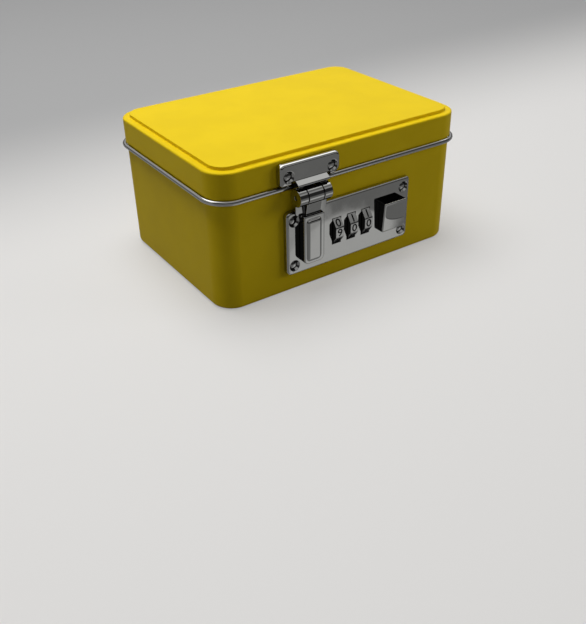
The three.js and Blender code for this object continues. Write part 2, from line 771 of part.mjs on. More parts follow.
// Heights in the hasp, from the middle of its barrel
const barrelZ = seamHeight - barrelDrop;

// The strike on the lid: a plate with two ears, a hood over the barrel and the two outer knuckles.
function hingeStrike() {
  const bottom = strikeBottom - barrelZ;
  const middle = bottom + strikeHeight / 2;
  const face = strikeFace - barrelReach;
  const back = lidReach + seat - barrelReach;
  const plate = frontPlate(
    strikeWidth / 2, strikeHeight / 2, [3, 2.4, 1.7, 4.8],
    roundedEdge(back, face, strikeEdge), 0, middle,
  );
  const halfHood = hoodWidth / 2;
  const notches = [-1, 1].map((side) => frontBlock(
    side < 0 ? [-halfHood - notchWidth, -halfHood] : [halfHood, halfHood + notchWidth],
    [back - 1, face + 1], [bottom - 1, bottom + notchHeight],
  ));
  const lip = hoodReach - barrelReach;
  const beadRoom = beadReach + beadRadius + slip - barrelReach;
  const hoodUnder = barrelRadius + slip * 2;
  const hoodTop = bottom + notchHeight;
  const hood = sideProfile([
    [beadRoom, bottom + slip], [beadRoom, hoodUnder], [face, hoodUnder], [face + 1.2, hoodUnder + 0.4],
    [face + 1.6, bottom - 0.9], [lip, bottom - 0.4], [lip, bottom + 0.5], [face, hoodTop],
    [back, hoodTop], [back, bottom + slip],
  ], -halfHood, halfHood);
  const knuckles = [-1, 1].map((side) => {
    const near = side * (middleKnuckle / 2 + slip);
    const far = (side * barrelLength) / 2;
    const [from, to] = [Math.min(near, far), Math.max(near, far)];
    const web = sideProfile([
      [beadRoom, bottom + slip], [beadRoom, 0], [0, 0], [0, bottom - 0.6],
    ], Math.max(from, -halfHood), Math.min(to, halfHood));
    return joined(barAlongX(barrelRadius, from, to, 0, 0, 32), web);
  });
  const pinHole = barAlongX(haspPinRadius + slip / 2, -barrelLength, barrelLength, 0, 0, smallSteps);
  const rivetHoles = strikeRivetPlaces.map(([x, z]) => (
    sunkHole(strikeFace).translate(x - haspX, barrelReach, z - barrelZ)
  ));
  return cut(joined(cut(plate, ...notches), hood, ...knuckles), pinHole, ...rivetHoles);
}

function haspPin() {
  return barAlongX(haspPinRadius, -barrelLength / 2 + slip, barrelLength / 2 - slip, 0, 0, smallSteps);
}

// The flap: a cushion-faced tongue with ears at its neck, a middle knuckle and a staple behind it.
function haspFlap() {
  const back = plateThickness + slip - barrelReach;
  const face = flapReach - barrelReach;
  const plateMiddle = lockZ - barrelZ;
  const flapTop = -flapTopDrop;
  const flapBottom = plateMiddle - flapBottomDrop;
  const middle = (flapTop + flapBottom) / 2;
  const halfHigh = (flapTop - flapBottom) / 2;
  const tongue = frontPlate(
    flapWidth / 2, halfHigh, [0.8, 0.8, flapCorner, flapCorner], roundedEdge(back, face, 0.7), 0, middle,
  );
  const pillow = frontPlate(
    flapWidth / 2 - pillowInset, halfHigh - pillowInset, [1.6, 1.6, 1.8, 1.8],
    roundedEdge(face - 0.5, face + pillowRise, 0.8), 0, middle,
  );
  const halfEar = earWidth / 2;
  const earHigh = -earTopDrop;
  const earLow = earHigh - earHeight;
  const earCut = 3;
  const ears = frontProfile([
    [-halfEar + earCut, earLow - 1], [halfEar - earCut, earLow - 1], [halfEar, earLow + 1],
    [halfEar, earHigh], [-halfEar, earHigh], [-halfEar, earLow + 1],
  ], back, earReach - barrelReach);
  const halfBand = middleKnuckle / 2;
  const bandFoot = flapTop - 3;
  const band = sideProfile([
    [back, 0], [back, bandFoot], [bandDent, bandFoot], [bandDent, flapTop],
    [barrelRadius / 2, -barrelRadius * 0.87], [0, 0],
  ], -halfBand, halfBand);
  const knuckle = barAlongX(barrelRadius, -halfBand, halfBand, 0, 0, 32);
  const stapleLow = plateMiddle - stapleDrop;
  const tip = -stapleBehind - barrelReach;
  const staple = frontBlock(
    [-stapleWidth / 2, stapleWidth / 2], [tip, back + 1], [stapleLow, stapleLow + stapleHeight],
  );
  const eye = frontBlock(
    [-stapleWidth, stapleWidth],
    [-boltBehind - boltThickness - slip - barrelReach, -boltBehind + slip - barrelReach],
    [plateMiddle + tongueZ - tongueHeight / 2 - slip, plateMiddle + tongueZ + tongueHeight / 2 + slip],
  );
  const pinHole = barAlongX(haspPinRadius + slip / 2, -middleKnuckle, middleKnuckle, 0, 0, smallSteps);
  return cut(joined(tongue, pillow, ears, band, knuckle, cut(staple, eye)), pinHole);
}

// A named mesh at a place in its group.
function place(group, name, solid, material, position = [0, 0, 0]) {
  const mesh = new THREE.Mesh(solid instanceof THREE.BufferGeometry ? solid : geometryOf(solid), material);
  mesh.name = name;
  mesh.position.set(...position);
  group.add(mesh);
}

function body() {
  const group = new THREE.Group();
  place(group, 'body_tub', bodyTub(), yellowPaint);
  const strap = geometryOf(hingeStrap());
  const rivet = geometryOf(hingeRivet());
  [['left', -1], ['right', 1]].forEach(([side, sign]) => {
    place(group, `hinge_strap_${side}`, strap, brightTin, [sign * hingeSpread, hingeY, seamHeight]);
  });
  hingeRivetPlaces.forEach(([x, z], index) => {
    place(group, `hinge_rivet_${index + 1}`, rivet, brightTin, [x, halfDepth, z]);
  });
  return group;
}

function lid() {
  const group = new THREE.Group();
  place(group, 'lid_shell', lidShell(), yellowPaint);
  const beads = lidBeads();
  place(group, 'lid_bead', beads.round, brightTin);
  place(group, 'lid_bead_rear', beads.rear, brightTin);
  const pin = geometryOf(hingePin());
  place(group, 'hinge_pin_left', pin, springSteel, [-hingeSpread, hingeY, seamHeight]);
  place(group, 'hinge_pin_right', pin, springSteel, [hingeSpread, hingeY, seamHeight]);
  const rivet = geometryOf(sunkRivet(strikeFace, lidReach));
  strikeRivetPlaces.forEach(([x, z], index) => {
    place(group, `strike_rivet_${index + 1}`, rivet, chromeCasting, [x, -halfDepth, z]);
  });
  return group;
}

function hasp() {
  const group = new THREE.Group();
  group.position.set(haspX, -halfDepth - barrelReach, barrelZ);
  place(group, 'hinge_strike', hingeStrike(), chromeCasting);
  place(group, 'hasp_pin', haspPin(), springSteel);
  place(group, 'hasp_flap', haspFlap(), chromeCasting);
  return group;
}

function lock() {
  const group = new THREE.Group();
  group.position.set(lockX, -halfDepth, lockZ);
  place(group, 'lock_housing', lockHousing(), chromeCasting);
  place(group, 'lock_cover', backCover(), brightTin);
  const screw = geometryOf(coverScrew());
  screwPlaces.forEach(([x, z], index) => {
    place(group, `cover_screw_${index + 1}`, screw, blackZinc, [x, 0, z]);
  });
  const rivet = geometryOf(sunkRivet(plateThickness, 0));
  plateRivetPlaces.forEach(([x, z], index) => {
    place(group, `plate_rivet_${index + 1}`, rivet, chromeCasting, [x - lockX, 0, z - lockZ]);
  });
  place(group, 'dial_axle', dialAxle(), springSteel);
  const wheel = geometryOf(numberWheel());
  const sleeve = geometryOf(codeSleeve());
  wheelPlaces.forEach((x, index) => {
    place(group, `dial_${index + 1}`, wheel, wheelChrome, [x, axleBehind, axleRise]);
    place(group, `code_sleeve_${index + 1}`, sleeve, brassSleeve, [x, axleBehind, axleRise]);
  });
  place(group, 'detent_spring', detentSpring(), springSteel);
  place(group, 'push_button', pushButton(), chromeCasting, [buttonX, 0, buttonZ]);
  place(group, 'slide_bolt', slideBolt(), springSteel);
  const springY = boltBehind + boltThickness / 2;
  place(group, 'return_spring', returnSpring(), springSteel, [
    boltLeft + boltLeg + slip + springWire / 2, springY, springZ,
  ]);
  return group;
}

const lockBox = new THREE.Group();
lockBox.name = 'medication_lock_box';
lockBox.add(body(), lid(), hasp(), lock());

export default lockBox;
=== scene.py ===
# %% [markdown]
# # A tin lock box for medicines
# The object is a small drawn tin with a painted body and lid, a bright bead round the lid's lower
# edge, and a cast hasp lock with three turning dials on its front. The frame holds its plain
# solids. This script dresses them: every visible piece is modelled again with rounded edges and
# finished with a material made of shader nodes.

from math import cos, pi, radians, sin

import bmesh
import bpy
from mathutils import Matrix, Vector


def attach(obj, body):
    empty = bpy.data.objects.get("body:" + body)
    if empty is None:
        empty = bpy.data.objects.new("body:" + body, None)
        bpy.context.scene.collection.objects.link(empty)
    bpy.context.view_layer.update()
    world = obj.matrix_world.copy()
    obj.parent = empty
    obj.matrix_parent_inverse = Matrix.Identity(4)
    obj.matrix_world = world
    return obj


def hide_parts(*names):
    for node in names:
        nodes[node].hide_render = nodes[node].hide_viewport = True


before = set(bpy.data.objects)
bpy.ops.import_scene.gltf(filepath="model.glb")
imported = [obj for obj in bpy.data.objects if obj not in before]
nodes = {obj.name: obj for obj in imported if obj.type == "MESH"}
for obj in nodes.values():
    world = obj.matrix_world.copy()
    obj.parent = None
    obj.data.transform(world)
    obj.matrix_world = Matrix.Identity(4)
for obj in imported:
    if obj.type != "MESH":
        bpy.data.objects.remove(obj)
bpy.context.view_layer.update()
print("nodes in the frame:", len(nodes))

# %% [markdown]
# ## The camera
# The camera stands in front of the box, to its left and above it, and leans a little to one side.
# Three angles say where it looks: the turn round the box, the rise above the floor and the lean.

# %% Camera
camera_place = Vector((-0.2442, -0.3673, 0.2286))
camera_turn = radians(-33.755)
camera_rise = radians(33.024)
camera_lean = radians(-1.065)

ahead = Vector((
    -sin(camera_turn) * cos(camera_rise), cos(camera_turn) * cos(camera_rise), -sin(camera_rise)
))
level_right = ahead.cross(Vector((0, 0, 1))).normalized()
level_up = level_right.cross(ahead)
image_right = level_right * cos(camera_lean) + level_up * sin(camera_lean)
image_up = level_up * cos(camera_lean) - level_right * sin(camera_lean)

camera = bpy.data.objects.new("camera", bpy.data.cameras.new("camera"))
bpy.context.scene.collection.objects.link(camera)
camera.matrix_world = Matrix.Translation(camera_place) @ Matrix(
    (image_right, image_up, -ahead)
).transposed().to_4x4()
camera.data.lens = 45.59
camera.data.sensor_width = 36
bpy.context.scene.camera = camera
bpy.context.scene.view_settings.view_transform = "Standard"
print("camera distance from the box in metres:", round(camera_place.length, 3))

# %% [markdown]
# ## Shader maths in plain Python
# A material is a graph of nodes. Two small classes make the graph readable: a Value is one output
# of a node, on which the signs + - * add Math nodes, and a Finish is a material whose settings are
# written like a recipe.

# %% Shader helpers
class Value:
    """One output of a shader node."""

    def __init__(self, tree, socket):
        self.tree = tree
        self.socket = socket

    def maths(self, operation, *others):
        inputs = dict(enumerate((self, *others)))
        return Recipe(self.tree).node("Math", settings={"operation": operation}, inputs=inputs)

    def __add__(self, other):
        return self.maths("ADD", other)

    def __sub__(self, other):
        return self.maths("SUBTRACT", other)

    def __rsub__(self, other):
        return self * -1 + other

    def __mul__(self, other):
        return self.maths("MULTIPLY", other)

    __radd__ = __add__
    __rmul__ = __mul__

    def between(self, low, high):
        """0 below one value, 1 above the other, and a smooth way between them."""
        smooth = {"interpolation_type": "SMOOTHSTEP"}
        return Recipe(self.tree).node("MapRange", settings=smooth, Value=self, From_Min=low, From_Max=high)


def join_to(tree, entry, value):
    """Links a Value to an input, or writes a plain number or colour into it."""
    if isinstance(value, Value):
        tree.links.new(value.socket, entry)
    else:
        entry.default_value = value


class Recipe:
    """Adds nodes to the tree of a material or of the world."""

    def __init__(self, tree):
        self.tree = tree

    def node(self, kind, output=0, settings=None, inputs=None, **named):
        """Adds a node and fills its inputs, given by number or, with _ for a space, by name."""
        made = self.tree.nodes.new("ShaderNode" + kind)
        for name, value in (settings or {}).items():
            setattr(made, name, value)
        for number, value in (inputs or {}).items():
            join_to(self.tree, made.inputs[number], value)
        for name, value in named.items():
            join_to(self.tree, made.inputs[name.replace("_", " ")], value)
        return Value(self.tree, made.outputs[output])

    def mix(self, share, first, second):
        """Goes from the first colour to the second as the share goes from 0 to 1."""
        colours = {0: share, 6: first, 7: second}
        return self.node("Mix", output=2, settings={"data_type": "RGBA"}, inputs=colours)


class Finish(Recipe):
    """A material for one kind of surface, with its Principled shader."""

    def __init__(self, name, **constants):
        self.material = bpy.data.materials.new(name)
        self.material.use_nodes = True
        super().__init__(self.material.node_tree)
        self.shader = self.tree.nodes["Principled BSDF"]
        object_place = 3
        self.place = self.node("TexCoord", output=object_place)
        self.set(**constants)

    def set(self, **entries):
        for name, value in entries.items():
            join_to(self.tree, self.shader.inputs[name.replace("_", " ")], value)

    def noise(self, scale, detail=2.0, stretch=None):
        place = self.place
        if stretch is not None:
            place = self.node("Mapping", Vector=self.place, Scale=stretch)
        return self.node("TexNoise", Vector=place, Scale=scale, Detail=detail)

    def bump(self, height, strength, distance):
        self.set(Normal=self.node("Bump", Height=height, Strength=strength, Distance=distance))


# %% [markdown]
# ## Satin yellow paint
# The tin is stoved with a smooth satin paint. It is nearly one colour, so the life of it comes
# from small things: a slight clouding of the colour, a gloss that changes a little from place to
# place, and the fine orange peel of sprayed paint in the bump.

# %% Yellow paint
yellow_paint = Finish("satin_yellow_paint", IOR=1.45, Specular_IOR_Level=0.12)
clouds = yellow_paint.noise(38.0, detail=3.0)
peel = yellow_paint.noise(950.0, detail=1.0)
yellow_paint.set(
    Base_Color=yellow_paint.mix(
        clouds.between(0.3, 0.7), (0.82, 0.585, 0.006, 1), (0.86, 0.62, 0.009, 1)
    ),
    Roughness=clouds * 0.08 + 0.36,
)
yellow_paint.bump(peel, 0.12, 0.00008)
print("paint ready:", yellow_paint.material.name)

# %% [markdown]
# ## Polished and bright metals
# The lock is cast and chromed. Chrome has hardly any colour of its own and shows the room, so its
# look comes from low roughness, a faint waviness left by the casting, and the haze of fingers. The
# bead is bright rolled tinplate: a little rougher, with fine lines along it.

# %% Metals
chrome = Finish("polished_chrome", Metallic=1.0)
haze = chrome.noise(120.0, detail=4.0)
waves = chrome.noise(75.0, detail=1.0)
chrome.set(
    Base_Color=chrome.mix(haze, (0.55, 0.55, 0.53, 1), (0.60, 0.60, 0.58, 1)),
    Roughness=haze.between(0.35, 0.75) * 0.05 + 0.03,
)
chrome.bump(waves, 0.008, 0.0005)

wheel_chrome = Finish("dial_chrome", Metallic=1.0)
wear = wheel_chrome.noise(420.0, detail=3.0)
wheel_chrome.set(
    Base_Color=wheel_chrome.mix(wear, (0.58, 0.58, 0.56, 1), (0.70, 0.70, 0.68, 1)),
    Roughness=wear * 0.12 + 0.12,
)

bright_tin = Finish("bright_tinplate", Metallic=1.0)
lines = bright_tin.noise(160.0, detail=3.0, stretch=(1, 1, 14))
bright_tin.set(
    Base_Color=bright_tin.mix(lines, (0.60, 0.60, 0.58, 1), (0.72, 0.72, 0.70, 1)),
    Roughness=lines * 0.10 + 0.08,
)

spring_steel = Finish("spring_steel", Metallic=1.0)
grain = spring_steel.noise(600.0, detail=3.0)
spring_steel.set(
    Base_Color=spring_steel.mix(grain, (0.30, 0.31, 0.32, 1), (0.42, 0.43, 0.44, 1)),
    Roughness=grain * 0.15 + 0.25,
)

brass = Finish("turned_brass", Metallic=1.0)
rings = brass.noise(300.0, detail=2.0, stretch=(12, 1, 1))
brass.set(
    Base_Color=brass.mix(rings, (0.52, 0.38, 0.15, 1), (0.66, 0.50, 0.22, 1)),
    Roughness=rings * 0.15 + 0.25,
)

black_zinc = Finish("black_zinc", Metallic=0.6)
bloom = black_zinc.noise(500.0, detail=3.0)
black_zinc.set(
    Base_Color=black_zinc.mix(bloom, (0.018, 0.018, 0.02, 1), (0.04, 0.04, 0.043, 1)),
    Roughness=bloom * 0.2 + 0.35,
)

dial_enamel = Finish("dial_enamel", Roughness=0.45)
pits = dial_enamel.noise(900.0, detail=2.0)
dial_enamel.set(Base_Color=dial_enamel.mix(pits, (0.004, 0.004, 0.004, 1), (0.016, 0.016, 0.016, 1)))
print("metals ready")

# %% [markdown]
# ## Modelling in millimetres
# The pieces are modelled in millimetres, where the numbers are easy to read and Blender's cutting
# and merging work best, and each is brought down to metres at the end. The helpers below do what a
# modeller does by hand: add a primitive, pick parts of it by their place, and run one operator.

# %% Modelling helpers
def leave_edit_mode():
    if bpy.context.object is not None and bpy.context.object.mode != "OBJECT":
        bpy.ops.object.mode_set(mode="OBJECT")
    bpy.ops.object.select_all(action="DESELECT")


def select_only(piece):
    leave_edit_mode()
    piece.select_set(True)
    bpy.context.view_layer.objects.active = piece


def pick(piece, kind, test=lambda part: True):
    """Goes into edit mode and selects the vertices, edges or faces that pass a test."""
    select_only(piece)
    bpy.ops.object.mode_set(mode="EDIT")
    bpy.ops.mesh.select_mode(type=kind)
    bpy.ops.mesh.select_all(action="DESELECT")
    mesh = bmesh.from_edit_mesh(piece.data)
    for part in {"VERT": mesh.verts, "EDGE": mesh.edges, "FACE": mesh.faces}[kind]:
        if test(part):
            part.select_set(True)
    bmesh.update_edit_mesh(piece.data)


near_enough = 0.01


def at(axis, value):
    """A test for parts whose vertices all lie at one place on an axis (0, 1 or 2)."""
    return lambda part: all(abs(corner.co[axis] - value) < near_enough for corner in part.verts)


def facing(x, y, z):
    """A test for faces that look one way."""
    return lambda face: face.normal.dot(Vector((x, y, z))) > 0.99


def both(*tests):
    """A test for parts that pass every one of some tests."""
    return lambda part: all(test(part) for test in tests)


def along(axis):
    """A test for edges that run along an axis."""
    def test(edge):
        run = edge.verts[1].co - edge.verts[0].co
        return abs(run[axis]) > 0.99 * run.length
    return test


def rounded(piece, test, radius, segments=5):
    """Rounds the edges that pass a test."""
    pick(piece, "EDGE", test)
    bpy.ops.mesh.bevel(offset=radius, segments=segments, affect="EDGES", clamp_overlap=True)


def push(x, y, z):
    """Extrudes what is selected."""
    bpy.ops.mesh.extrude_region_move(TRANSFORM_OT_translate={"value": (x, y, z)})


def face_outwards(piece):
    pick(piece, "FACE")
    bpy.ops.mesh.normals_make_consistent(inside=False)


def keep_place(piece, name):
    """Moves the object's own place and turn into its mesh."""
    select_only(piece)
    bpy.ops.object.transform_apply(location=True, rotation=True, scale=True)
    piece.name = name
    return piece


def add_box(name, low, high):
    """A block from its lowest to its highest corner."""
    leave_edit_mode()
    middle = [(a + b) / 2 for a, b in zip(low, high)]
    size = [b - a for a, b in zip(low, high)]
    bpy.ops.mesh.primitive_cube_add(size=1, location=middle, scale=size)
    return keep_place(bpy.context.object, name)


def add_bar(name, radius, low, high, axis, sides=48):
    """A round bar along X or Y, from one end of its axis to the other."""
    leave_edit_mode()
    middle = (Vector(low) + Vector(high)) / 2
    length = (Vector(high) - Vector(low)).length
    turn = (0, pi / 2, 0) if axis == "X" else (pi / 2, 0, 0)
    bpy.ops.mesh.primitive_cylinder_add(
        vertices=sides, radius=radius, depth=length, location=middle, rotation=turn
    )
    return keep_place(bpy.context.object, name)


def add_outline(name, points):
    """One flat face through some points, drawn vertex by vertex."""
    leave_edit_mode()
    bpy.ops.mesh.primitive_plane_add(size=1, location=points[0])
    piece = bpy.context.object
    bpy.ops.object.mode_set(mode="EDIT")
    bpy.ops.mesh.select_mode(type="VERT")
    bpy.ops.mesh.select_all(action="SELECT")
    bpy.ops.mesh.merge(type="CENTER")
    for here, there in zip(points, points[1:]):
        step = Vector(there) - Vector(here)
        bpy.ops.mesh.extrude_vertices_move(TRANSFORM_OT_translate={"value": step})
    bpy.ops.mesh.select_all(action="SELECT")
    bpy.ops.mesh.edge_face_add()
    return keep_place(piece, name)


def shape_with(piece, tool, operation):
    """Cuts a tool out of a piece (DIFFERENCE) or joins it to the piece (UNION)."""
    change = piece.modifiers.new(operation.lower(), "BOOLEAN")
    change.operation = operation
    change.object = tool
    change.solver = "EXACT"
    change.material_mode = "TRANSFER"
    select_only(piece)
    bpy.ops.object.modifier_apply(modifier=change.name)
    bpy.data.objects.remove(tool)


double = 0.0008


def tidy(piece):
    """Merges doubles and clears the needless edges that cutting leaves on flat faces."""
    pick(piece, "FACE")
    bpy.ops.mesh.remove_doubles(threshold=double)
    bpy.ops.mesh.dissolve_limited(angle_limit=radians(0.6))


def in_plane(normal, depth):
    """A test for faces that lie in one plane."""
    return lambda face: abs(face.normal.dot(normal)) > 0.9999 and all(
        abs(corner.co.dot(normal) - depth) < near_enough for corner in face.verts
    )


def fill_again(piece):
    """Fills each flat face with many corners again from its edges, together with what else lies in
    its plane. That gives sound triangles, where the face itself would fold over at small corners.
    They are marked strong, so that they shade as one flat face right up to their rounded edge."""
    leave_edit_mode()
    planes = []
    for face in piece.data.polygons:
        depth = face.normal.dot(face.center)
        known = any(
            face.normal.dot(normal) > 0.9999 and abs(depth - other) < near_enough for normal, other in planes
        )
        if len(face.vertices) > 4 and not known:
            planes.append((face.normal.copy(), depth))
    for plane in planes:
        pick(piece, "FACE", in_plane(*plane))
        if piece.data.total_face_sel == 0:
            continue
        bpy.ops.mesh.delete(type="FACE")
        pick(piece, "EDGE", lambda edge: edge.is_boundary)
        bpy.ops.mesh.fill(use_beauty=True)
        pick(piece, "FACE", in_plane(*plane))
        bpy.ops.mesh.mod_weighted_strength(set=True, face_strength="STRONG")


def soften(piece, width, segments=3, sharper_than=38):
    """Rounds every sharp edge a little, as plating and tumbling do. The shortest edge would limit
    the width of all of them, so the clamp is off, and what meets is merged afterwards."""
    tidy(piece)
    select_only(piece)
    change = piece.modifiers.new("soft edges", "BEVEL")
    change.width = width
    change.segments = segments
    change.limit_method = "ANGLE"
    change.angle_limit = radians(sharper_than)
    change.use_clamp_overlap = False
    change.face_strength_mode = "FSTR_NEW"
    bpy.ops.object.modifier_apply(modifier=change.name)
    pick(piece, "FACE")
    bpy.ops.mesh.remove_doubles(threshold=double)
    fill_again(piece)
    face_outwards(piece)


millimetre = 0.001


def hand_over(piece, body, finish, replaced, crease=35):
    """Shades a piece, brings it to metres, paints it and hands it to the body that it moves with."""
    select_only(piece)
    bpy.ops.object.shade_smooth_by_angle(angle=radians(crease))
    level = piece.modifiers.new("level shading", "WEIGHTED_NORMAL")
    level.keep_sharp = True
    level.use_face_influence = True
    level.weight = 90
    bpy.ops.object.modifier_apply(modifier=level.name)
    select_only(piece)
    piece.scale = (millimetre, millimetre, millimetre)
    bpy.ops.object.transform_apply(location=True, rotation=True, scale=True)
    if piece.data.materials:
        piece.data.materials[0] = finish.material
    else:
        piece.data.materials.append(finish.material)
    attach(piece, body)
    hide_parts(*replaced)
    print(piece.name, "on", body, "-", len(piece.data.polygons), "faces")


def copied(piece, name):
    """A copy with a mesh of its own."""
    leave_edit_mode()
    twin = piece.copy()
    twin.data = piece.data.copy()
    twin.name = name
    bpy.context.scene.collection.objects.link(twin)
    return twin


# %% [markdown]
# ## The tin body
# A real tin body is drawn from one sheet. Here a block gets its four upright corners rounded, then
# its lower edge, and its top is stepped in to make the neck that the lid slides over. With the top
# face gone, Solidify gives the skin the thickness of the sheet.

# %% Tin body
half_width = 80.0
half_depth = 56.5
seam = 62.8
sheet = 0.8
corner_radius = 12.5
foot_radius = 2.5
shoulder = seam - 0.7
shoulder_radius = 0.4
neck_inset = 1.15
neck_top = seam + 4.1


def hollow_out(piece):
    """Turns a closed block without a lid into a shell of sheet metal."""
    select_only(piece)
    skin = piece.modifiers.new("sheet", "SOLIDIFY")
    skin.thickness = sheet
    skin.offset = -1
    skin.use_even_offset = True
    bpy.ops.object.modifier_apply(modifier=skin.name)


tin_body = add_box("tin_body", (-half_width, -half_depth, 0), (half_width, half_depth, shoulder))
rounded(tin_body, along(2), corner_radius, segments=16)
rounded(tin_body, at(2, 0), foot_radius, segments=6)
rounded(tin_body, at(2, shoulder), shoulder_radius, segments=3)
pick(tin_body, "FACE", both(facing(0, 0, 1), at(2, shoulder)))
bpy.ops.mesh.inset(thickness=neck_inset - shoulder_radius, depth=0)
push(0, 0, neck_top - shoulder)
bpy.ops.mesh.delete(type="FACE")
hollow_out(tin_body)

lock_x = 0.4
lock_z = 30.45
case_half_width = 34.5
case_half_height = 16.05
case_room = 0.3
shape_with(tin_body, add_box(
    "case_opening",
    (lock_x - case_half_width - case_room, -half_depth - 1, lock_z - case_half_height - case_room),
    (lock_x + case_half_width + case_room, -half_depth + 2 * sheet, lock_z + case_half_height + case_room),
), "DIFFERENCE")
hand_over(tin_body, "case", yellow_paint, ["body_tub"])

# %% [markdown]
# ## The lid
# The lid is drawn the same way, with one more step: its middle is raised inside a flat rim. Inset
# marks the rim, an extrusion raises the middle, and both of the new edge loops are rounded, the
# upper one wide and the lower one narrow.

# %% Tin lid
lid_reach = 0.85
lid_half_width = half_width + lid_reach
lid_half_depth = half_depth + lid_reach
rim = seam + 15.5
panel_top = rim + 1.8
panel_inset = 4.1
rim_radius = 1.0
panel_radius = 0.35
step_radius = 0.2
skirt = seam + 1.6

tin_lid = add_box(
    "tin_lid", (-lid_half_width, -lid_half_depth, skirt), (lid_half_width, lid_half_depth, rim)
)
rounded(tin_lid, along(2), corner_radius + lid_reach, segments=16)
rounded(tin_lid, at(2, rim), rim_radius, segments=6)
pick(tin_lid, "FACE", both(facing(0, 0, 1), at(2, rim)))
bpy.ops.mesh.inset(thickness=panel_inset - rim_radius, depth=0)
push(0, 0, panel_top - rim)
rounded(tin_lid, at(2, panel_top), panel_radius, segments=4)
inner_x = lid_half_width - panel_inset + near_enough
inner_y = lid_half_depth - panel_inset + near_enough


def is_inside_rim(edge):
    return all(abs(corner.co.x) < inner_x and abs(corner.co.y) < inner_y for corner in edge.verts)


rounded(tin_lid, both(at(2, rim), is_inside_rim), step_radius, segments=3)
pick(tin_lid, "FACE", both(facing(0, 0, -1), at(2, skirt)))
bpy.ops.mesh.delete(type="FACE")
hollow_out(tin_lid)
hand_over(tin_lid, "lid", yellow_paint, ["lid_shell"])

# %% [markdown]
# ## The bright bead
# The lid's lower edge is rolled into a bright bead. A rounded outline becomes a curve, and the
# curve's own bevel makes the round section. Two blocks then cut the gaps for the hinges.

# %% Bead
bead_radius = 1.3
bead_reach = 1.45
hinge_x = 46.0
hinge_gap = 7.3

leave_edit_mode()
bpy.ops.mesh.primitive_plane_add(size=1, location=(0, 0, seam))
bpy.ops.transform.resize(value=(2 * (half_width + bead_reach), 2 * (half_depth + bead_reach), 1))
bead = keep_place(bpy.context.object, "bright_bead")
pick(bead, "VERT")
bpy.ops.mesh.bevel(offset=corner_radius + bead_reach, segments=20, affect="VERTICES")
bpy.ops.mesh.delete(type="ONLY_FACE")
select_only(bead)
bpy.ops.object.convert(target="CURVE")
bead = bpy.context.object
bead.data.bevel_depth = bead_radius
bead.data.bevel_resolution = 5
bpy.ops.object.convert(target="MESH")
bead = bpy.context.object
face_outwards(bead)
for side in (-1, 1):
    shape_with(bead, add_box(
        "hinge_gap",
        (side * hinge_x - hinge_gap, half_depth - 3, seam - 3),
        (side * hinge_x + hinge_gap, half_depth + 5, seam + 3),
    ), "DIFFERENCE")
hand_over(bead, "lid", bright_tin, ["lid_bead", "lid_bead_rear"], crease=50)

# %% [markdown]
# ## Flat castings
# The lock plate, the strike and the flap all start as a flat slab on the front of the box: a plane
# whose corners are rounded as vertices, pushed forward, and rounded again along its front edge.

# %% Slab helper
def out(distance):
    """The y of a point that far out from the tin's front face."""
    return -half_depth - distance


def add_slab(name, middle, size, corners, near, far, edge, segments=5):
    """A slab with its own radius at each corner: upper right, upper left, lower left, lower right."""
    leave_edit_mode()
    x, z = middle
    width, height = size
    upright_turn = (pi / 2, 0, 0)
    bpy.ops.mesh.primitive_plane_add(size=1, location=(x, out(near), z), rotation=upright_turn)
    bpy.context.object.scale = (width, height, 1)
    slab = keep_place(bpy.context.object, name)
    for (sideways, upright), radius in zip(((1, 1), (-1, 1), (-1, -1), (1, -1)), corners):
        place = Vector((x + sideways * width / 2, out(near), z + upright * height / 2))
        pick(slab, "VERT", lambda corner: (corner.co - place).length < near_enough)
        bpy.ops.mesh.bevel(offset=radius, segments=10, affect="VERTICES")
    pick(slab, "FACE")
    push(0, near - far, 0)
    face_outwards(slab)
    if edge:
        rounded(slab, at(1, out(far)), edge, segments=segments)
    return slab


def add_sink(x, z, face, deep):
    """The cutter for a countersunk hole: a round bar that flares at the plate's face."""
    hole_radius = 1.9
    flare = 3.25 / hole_radius
    flare_height = 1.5
    flare_foot = out(face - flare_height)
    sink = add_bar("sink", hole_radius, (x, out(deep), z), (x, flare_foot, z), "Y", sides=40)
    pick(sink, "FACE", both(facing(0, -1, 0), at(1, flare_foot)))
    push(0, -flare_height, 0)
    bpy.ops.transform.resize(value=(flare, 1, flare))
    push(0, -1, 0)
    return sink


# %% [markdown]
# ## The lock plate
# The plate and the case behind it are one casting. The case is a box joined to the back of the
# slab, hollowed from behind. Then come the three windows, which are the dials' own round shape and
# a little larger, the slots for the staple and the button's stem, and the countersunk holes.

# %% Lock plate
plate_width = 84
plate_height = 37.3
plate_face = 3.3
plate_rounding = 1.4
case_wall = 1.2
window_room = 0.3
slot_half_width = 2
dial_x = [lock_x + 0.55 + step for step in (-10, 0, 10)]
dial_y = -half_depth + 2.5
dial_z = lock_z - 0.25
dial_sides = 10
dial_flat = 9.0
dial_corner = dial_flat / cos(pi / dial_sides)
dial_half = 2.65
rivet_reach_x = 37.3
rivet_reach_z = 13.2
rivet_places = [
    (lock_x + sideways * rivet_reach_x, lock_z + upright * rivet_reach_z)
    for sideways, upright in ((-1, -1), (1, -1), (1, 1), (-1, 1))
]
hasp_x = -27.1
stem_x = lock_x + 25.4
button_z = lock_z - 0.35

